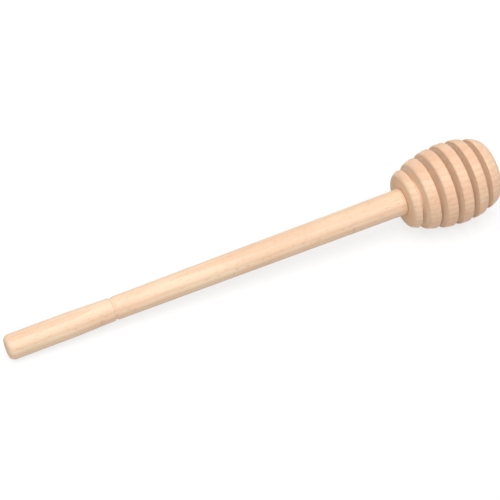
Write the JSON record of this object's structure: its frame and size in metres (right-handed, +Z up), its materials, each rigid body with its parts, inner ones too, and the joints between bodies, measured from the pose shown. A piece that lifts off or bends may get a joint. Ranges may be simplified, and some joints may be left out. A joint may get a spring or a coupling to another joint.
{
  "type": "honey dipper",
  "caption": "Small turned wooden honey dipper: a slim round handle with a ring groove, glued into an egg-shaped head whose deep grooves hold honey.",
  "frame": {"origin": "on the table, midway along the dipper as it lies on its handle's tip and the rims of two rings of its head", "axes": "+X from the handle's tip towards the head, +Z up from the table; the turning axis lies in the XZ plane and rises 3.58 degrees towards the head"},
  "size_m": [0.1598, 0.0258, 0.0259],
  "materials": {
    "handle_beech": "turned and sanded, untreated",
    "head_beech": "turned and sanded, untreated"
  },
  "bodies": {
    "root": {"handle": "handle_beech", "head": "head_beech"}
  },
  "joints": []
}
